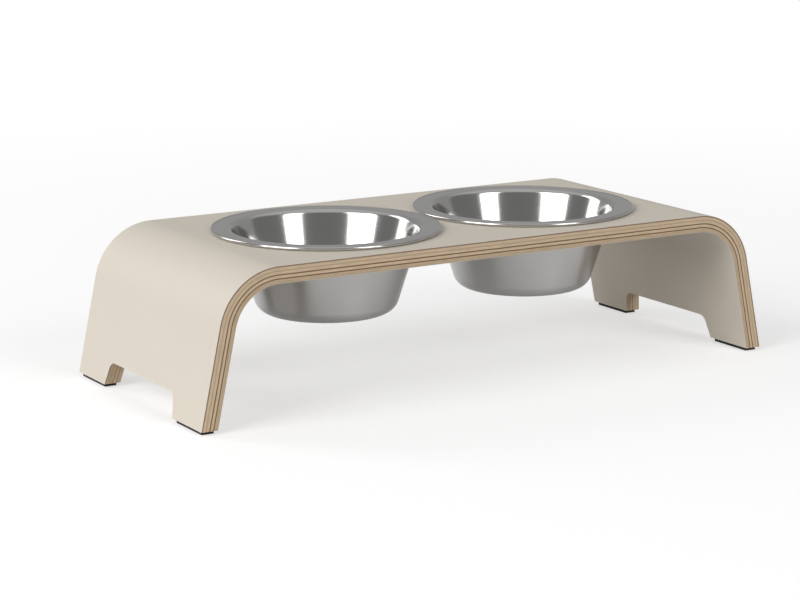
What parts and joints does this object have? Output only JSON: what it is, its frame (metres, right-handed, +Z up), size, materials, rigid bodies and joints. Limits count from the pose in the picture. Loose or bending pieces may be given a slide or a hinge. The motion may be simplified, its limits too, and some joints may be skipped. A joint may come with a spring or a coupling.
{
  "type": "dog feeding station",
  "caption": "Low feeding station: a laminated plywood arch with splayed, notched legs on thin pads, and steel bowls that hang by their rolled rims in round holes and lift out.",
  "frame": {"origin": "on the floor under the middle of the arch", "axes": "+X along the length of the arch, +Y to the back, +Z up"},
  "size_m": [0.4838, 0.2, 0.1141],
  "materials": {
    "laminate": "matte cream laminate",
    "veneer_long": "sanded pale veneer edge, grain along the arch",
    "veneer_cross": "sanded darker veneer edge, end grain",
    "steel": "polished inside, satin outside",
    "pad": "matte black"
  },
  "bodies": {
    "stand": {"outer_laminate": "laminate", "veneer_1": "veneer_long", "veneer_2": "veneer_cross", "veneer_3": "veneer_long", "veneer_4": "veneer_cross", "veneer_5": "veneer_long", "veneer_6": "veneer_cross", "veneer_7": "veneer_long", "inner_laminate": "laminate", "foot_pad_front_left": "pad", "foot_pad_front_right": "pad", "foot_pad_back_left": "pad", "foot_pad_back_right": "pad"},
    "bowl_left": {"bowl_left": "steel"},
    "bowl_right": {"bowl_right": "steel"}
  },
  "joints": [
    {"name": "bowl_left_lift", "type": "slide", "parent": "stand", "child": "bowl_left", "axis": [0, 0, 1], "range_m": [0, 0.075]},
    {"name": "bowl_right_lift", "type": "slide", "parent": "stand", "child": "bowl_right", "axis": [0, 0, 1], "range_m": [0, 0.075]}
  ]
}
